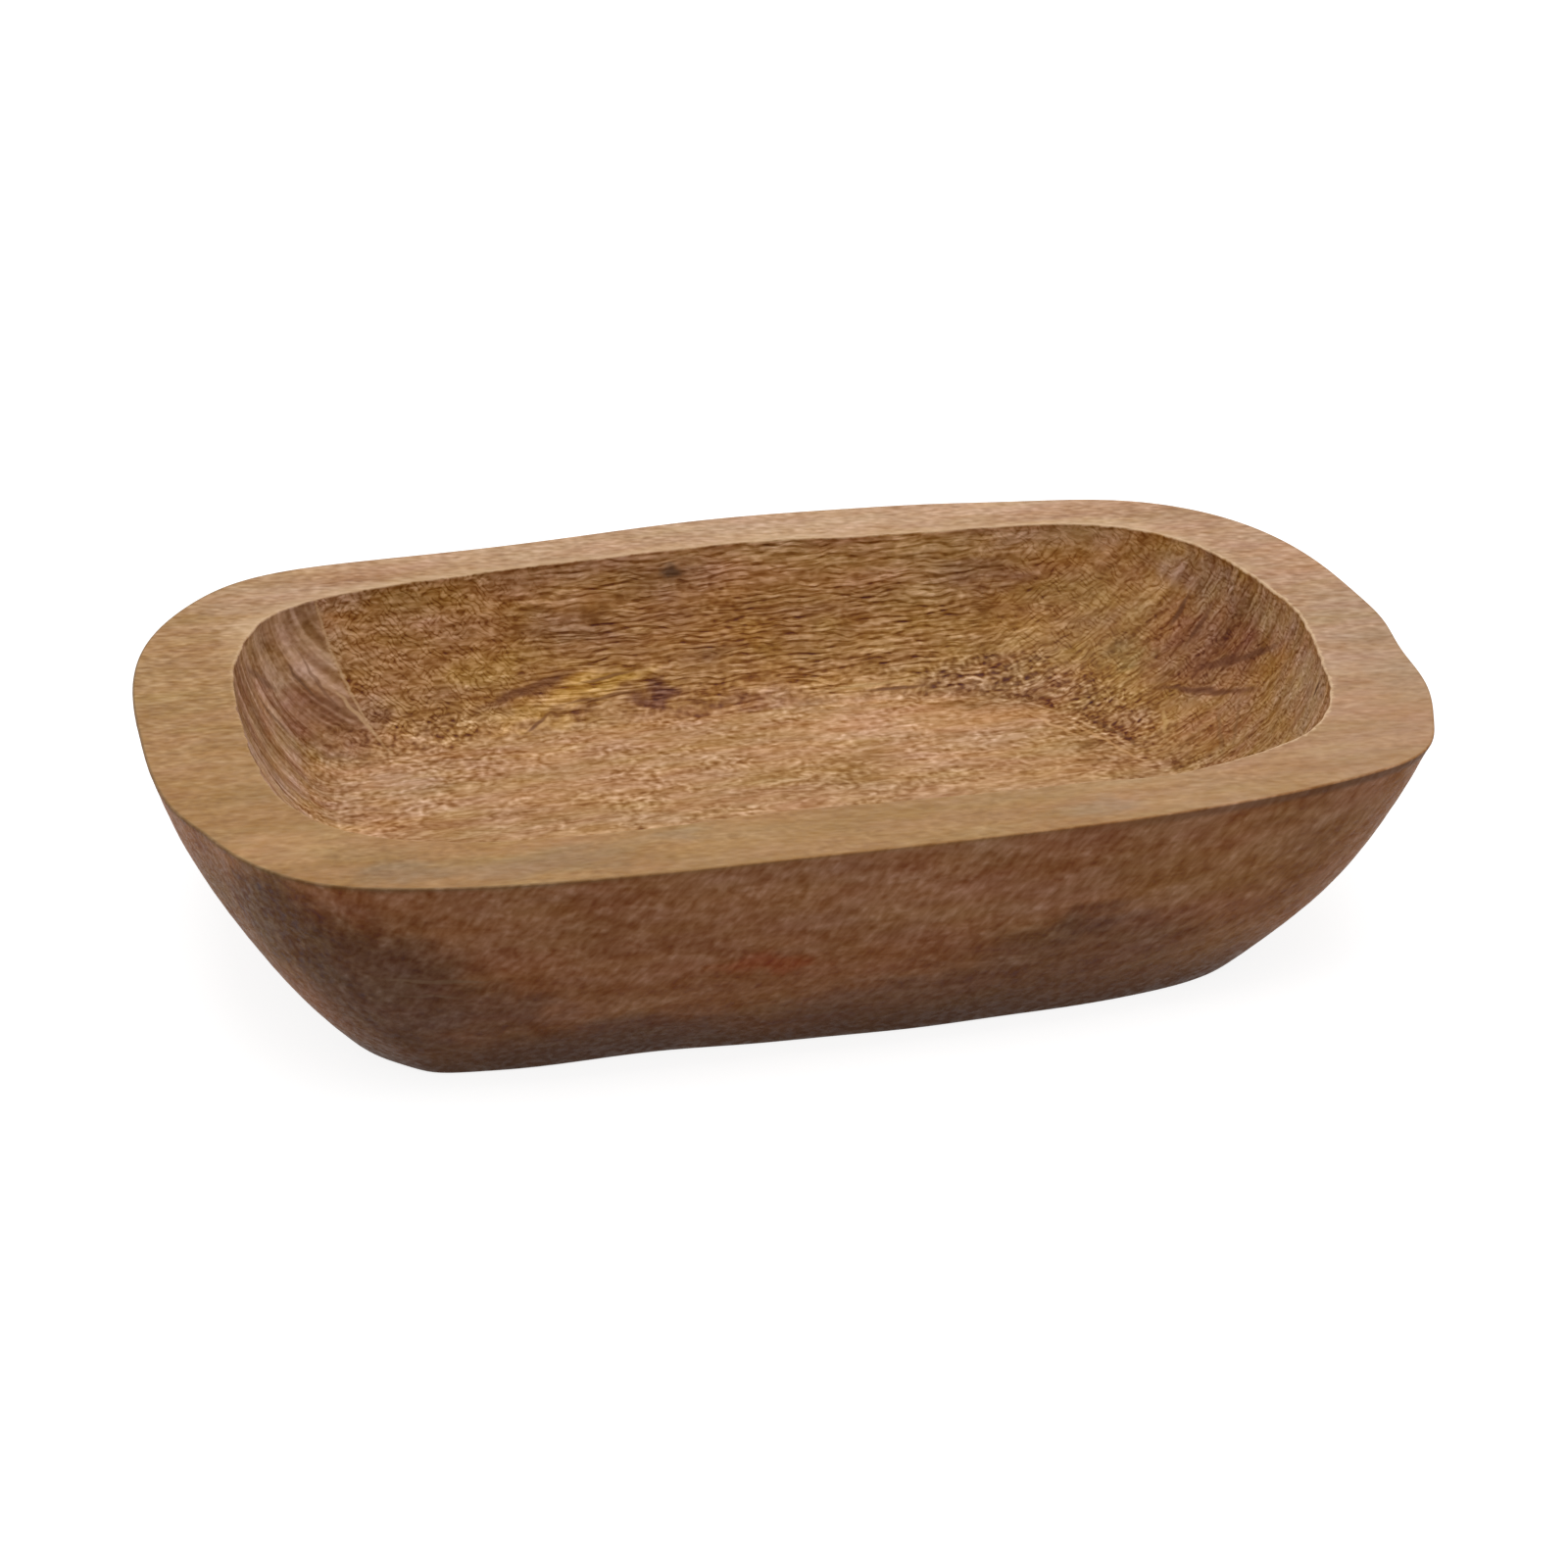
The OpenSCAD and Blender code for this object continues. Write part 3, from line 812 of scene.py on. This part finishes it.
# Thin cracks and scratches: their two ends in millimetres, the way that the wood faces there,
# their width in millimetres, colour and strength
scratches = (
    ((106, 35, 27), (125.4, 2.4, 38.1), (-0.7, -0.15, 0.7), 2.8, (92, 50, 24), 0.75),
    ((115.6, 30.3, 33.1), (125, 18, 40.5), (-0.7, -0.15, 0.66), 3.6, (96, 52, 28), 0.65),
    ((122, 22, 38), (130.7, 7.6, 47.4), (-0.82, -0.1, 0.55), 2.6, (94, 54, 30), 0.65),
    ((114.5, 47, 37), (121, 49, 47), (-0.7, -0.33, 0.6), 2.4, (96, 58, 34), 0.7),
    ((115, 38, 35), (124, 40, 48), (-0.7, -0.3, 0.6), 2.0, (100, 60, 36), 0.6),
    ((116.8, 14.1, 30.2), (110.2, -10.4, 24.5), (-0.6, 0, 0.8), 1.8, (122, 84, 46), 0.5),
    ((121.2, 10.6, 33.8), (113.5, -8, 26.5), (-0.68, 0, 0.73), 1.6, (120, 84, 48), 0.45),
    ((106.9, 25.4, 25.7), (103.8, 14.9, 22.4), (-0.4, -0.13, 0.9), 1.5, (208, 170, 114), 0.6),
    ((74.5, 44.8, 20), (86.1, 22.5, 20), (0, 0, 1), 1.3, (212, 166, 120), 0.6),
    ((82, 41, 20), (97.1, 2.8, 20), (0, 0, 1), 1.5, (206, 160, 112), 0.6),
    ((88, 40, 21), (99, 10, 21), (-0.1, 0, 1), 1.6, (96, 60, 32), 0.45),
    ((126, -29, 48), (127.5, -30, 54), (-0.85, 0.2, 0.4), 1.4, (92, 62, 40), 0.8),
    ((24, 64.2, 22.2), (54, 63.8, 23.8), (-0.05, -0.65, 0.75), 1.3, (214, 176, 124), 0.75),
    ((38, 63.6, 21.6), (54, 62, 21.6), (-0.05, -0.65, 0.75), 1.2, (112, 70, 38), 0.75),
    ((-100, 66, 37.4), (-88, 59.4, 24), (0.5, -0.5, 0.7), 1.3, (208, 172, 130), 0.75),
    ((-63.5, 66, 26.2), (-34, 72.3, 32.2), (0.06, -0.8, 0.6), 3.0, (106, 62, 32), 0.6),
    ((-36.2, 69.6, 28.4), (-20, 71.4, 30.6), (0.02, -0.8, 0.6), 1.3, (110, 68, 34), 0.6),
    ((-43.2, 66.3, 24.9), (-18.4, 67.8, 25.8), (0.02, -0.73, 0.68), 1.3, (112, 70, 36), 0.6),
    ((-52, 60.5, 20.3), (-44.8, 64.9, 23.4), (0, -0.6, 0.8), 1.6, (104, 62, 32), 0.65),
    ((-49.5, 61.5, 20.8), (-43.5, 63.8, 22.3), (0, -0.6, 0.8), 2.0, (224, 182, 130), 0.55),
    ((-111.4, 63.6, 45.7), (-102.3, 61.9, 33.2), (0.49, -0.72, 0.47), 1.3, (98, 66, 44), 0.55),
    ((-122.7, 46.5, 53.9), (-112.5, 57.9, 39.7), (0.81, -0.42, 0.3), 2.6, (104, 72, 50), 0.5),
    ((-120.2, 47.9, 45.7), (-111.6, 49.7, 30.8), (0.82, -0.36, 0.42), 1.5, (100, 68, 46), 0.5),
    ((-108.4, 67.2, 48.4), (-97.3, 61.9, 29.9), (0.41, -0.72, 0.52), 1.2, (108, 72, 48), 0.45),
    ((-113.3, -88.1, 32.2), (-84.9, -94.8, 30.8), (-0.22, -0.9, -0.3), 1.3, (168, 132, 104), 0.6),
    ((-110, -87.5, 27.5), (-91, -92.4, 26.3), (-0.3, -0.88, -0.35), 1.1, (160, 126, 100), 0.5),
)
for start, end, facing, width, tint, strength in scratches:
    line_share = times(scratch(start, end, facing, width), strength)
    wood_colour = blend(wood_colour, colour(*tint), line_share)

knot = patch((-9, 83, 51.9), (3.8, 3, 2.8), core=0.2)
wood_colour = blend(wood_colour, knot_brown, times(knot, 0.85))
wood_colour = blend(wood_colour, seam_tan, times(seam_line, 0.75))

# Rubbed edges of the mouth and the rim, lighter partly from wear and partly as a painted highlight, the
# painted shade under the rim, and the foot and underside painted dark as shade
# The back of the mouth's edge, lighter partly from wear and partly as a painted highlight
rubbed_and_highlit_back = times(rise(way, 2.7, 2.95, 0, 0.4), rise(ragged_way, 2.99, 3.03, 1, 0))
rubbed_and_highlit_back = times(rubbed_and_highlit_back, rise_across(20, 60))
wood_colour = blend(wood_colour, rubbed_and_highlit_back_tan, rubbed_and_highlit_back)
# A thin light line along the mouth's edge: partly wear, partly a painted highlight
mouth_edge = times(rise(ragged_way, 2.93, 2.97), rise(ragged_way, 3.01, 3.05, 1, 0))
mouth_edge_strength = calc("MAXIMUM", rise_along(40, 110, 0.2, 0.9), rise_across(0, 50, 0.2, 0.55))
mouth_edge_strength = times(mouth_edge_strength, rise(mid_lumps.outputs["Fac"], 0.36, 0.58, 0.5, 1.0))
wood_colour = blend(wood_colour, rubbed_and_highlit_mouth_tan, times(mouth_edge, mouth_edge_strength))
# The rim's outer edge, rubbed and partly a painted highlight
rim_edge = times(rise(way, 1.93, 1.97), rise(way, 2.02, 2.06, 1, 0))
edge_gold = blend(left_edge_olive, right_edge_gold, rise_along(-110, -20))
wood_colour = blend(wood_colour, edge_gold, times(rim_edge, rise_along(10, 70, 0.5, 0.25)))
# Painted shade: a dark band on the outside just under the rim's edge, stronger to the right
under_rim_painted_shade = times(rise(way, 1.91, 1.935), rise(way, 1.95, 1.97, 1, 0))
under_rim_painted_shade = times(under_rim_painted_shade, rise_along(20, 120, 0.0, 0.55))
wood_colour = blend(wood_colour, under_rim_shade_brown, under_rim_painted_shade)
# Painted shade: the outside darkens towards its foot, and the underside is painted dark
wood_colour = blend(foot_shade_brown, wood_colour, rise(way, 1.0, 1.36, 0.15, 1))

# Colours were mixed as a screen shows them. This turns them into shares of light
screen_gamma = 2.2
light_shares = wood_nodes.new("ShaderNodeGamma")
feed(light_shares.inputs["Color"], wood_colour)
light_shares.inputs["Gamma"].default_value = screen_gamma

# Fibres stand a little proud and pits are open, so both catch the light
height = times(lightness, by_region(0.3, 0.3, 0.35, 0.3))
relief_depth = mm
relief = wood_nodes.new("ShaderNodeBump")
relief.inputs["Strength"].default_value = 1.0
relief.inputs["Distance"].default_value = relief_depth
feed(relief.inputs["Height"], height)

oil_gloss = 0.25
least_roughness = 0.52
most_roughness = 0.7
surface_roughness = rise(speckles.outputs["Fac"], 0.3, 0.7, least_roughness, most_roughness)
oiled_surface = wood_nodes.new("ShaderNodeBsdfPrincipled")
feed(oiled_surface.inputs["Base Color"], light_shares.outputs["Color"])
feed(oiled_surface.inputs["Roughness"], surface_roughness)
feed(oiled_surface.inputs["Normal"], relief.outputs["Normal"])
oiled_surface.inputs["Specular IOR Level"].default_value = oil_gloss
wood_output = wood_nodes.new("ShaderNodeOutputMaterial")
feed(wood_output.inputs["Surface"], oiled_surface.outputs["BSDF"])
carved_bowl.data.materials.append(wood)

# The table.
# A plain white board, far wider than the picture, that the bowl stands on. To the camera it is
# white except in the bowl's shadow, and it throws little light back up at the bowl.
table_half = 6.0
board_colour_to_bowl = (0.22, 0.21, 0.2, 1)
board_colour_as_seen = (0.42, 0.42, 0.42, 1)
board_glow_as_seen = 0.86

table_mesh = bpy.data.meshes.new("table")
table_mesh.from_pydata(
    [(-table_half, -table_half, 0), (table_half, -table_half, 0),
     (table_half, table_half, 0), (-table_half, table_half, 0)],
    [], [(0, 1, 2, 3)],
)
table = bpy.data.objects.new("table", table_mesh)
scene.collection.objects.link(table)
board = bpy.data.materials.new("white_board")
board.use_nodes = True
board_nodes = board.node_tree.nodes
board_links = board.node_tree.links
board_nodes.clear()


def seen_directly(nodes, links):
    """1 for rays from the camera or from a shiny or clear surface, otherwise 0."""
    rays = nodes.new("ShaderNodeLightPath")
    seen = rays.outputs["Is Camera Ray"]
    for kind in ("Is Glossy Ray", "Is Transmission Ray"):
        most = nodes.new("ShaderNodeMath")
        most.operation = "MAXIMUM"
        links.new(seen, most.inputs[0])
        links.new(rays.outputs[kind], most.inputs[1])
        seen = most.outputs[0]
    return seen


board_seen = seen_directly(board_nodes, board_links)
board_colour = board_nodes.new("ShaderNodeMix")
board_colour.data_type = "RGBA"
board_links.new(board_seen, board_colour.inputs[0])
board_colour.inputs[6].default_value = board_colour_to_bowl
board_colour.inputs[7].default_value = board_colour_as_seen
board_diffuse = board_nodes.new("ShaderNodeBsdfDiffuse")
board_links.new(board_colour.outputs[2], board_diffuse.inputs["Color"])
board_glow_strength = board_nodes.new("ShaderNodeMath")
board_glow_strength.operation = "MULTIPLY"
board_links.new(board_seen, board_glow_strength.inputs[0])
board_glow_strength.inputs[1].default_value = board_glow_as_seen
board_glow = board_nodes.new("ShaderNodeEmission")
board_links.new(board_glow_strength.outputs[0], board_glow.inputs["Strength"])
board_sum = board_nodes.new("ShaderNodeAddShader")
board_links.new(board_diffuse.outputs[0], board_sum.inputs[0])
board_links.new(board_glow.outputs[0], board_sum.inputs[1])
board_output = board_nodes.new("ShaderNodeOutputMaterial")
board_links.new(board_sum.outputs[0], board_output.inputs["Surface"])
table.data.materials.append(board)

# The light.
# One wide soft box hangs over the bowl, and the room adds a weaker even light from all sides.
# Together they light a level surface at about the strength at which its colour looks as painted.
soft_box_side = 1.3
soft_box_place = (0.1, 0.1, 1.3)
soft_box_power = 12
room_level = 0.5

soft_box_data = bpy.data.lights.new("soft_box", "AREA")
soft_box_data.shape = "SQUARE"
soft_box_data.size = soft_box_side
soft_box_data.energy = soft_box_power
soft_box = bpy.data.objects.new("soft_box", soft_box_data)
soft_box.location = soft_box_place
scene.collection.objects.link(soft_box)

room = bpy.data.worlds.new("room")
room.use_nodes = True
room_nodes = room.node_tree.nodes
room_links = room.node_tree.links
room_nodes.clear()
room_seen = seen_directly(room_nodes, room_links)
room_strength = room_nodes.new("ShaderNodeMapRange")
room_links.new(room_seen, room_strength.inputs["Value"])
room_strength.inputs["To Min"].default_value = room_level
room_strength.inputs["To Max"].default_value = 1.0
room_light = room_nodes.new("ShaderNodeBackground")
room_links.new(room_strength.outputs["Result"], room_light.inputs["Strength"])
room_output = room_nodes.new("ShaderNodeOutputWorld")
room_links.new(room_light.outputs[0], room_output.inputs["Surface"])
scene.world = room
scene.view_settings.view_transform = "Standard"
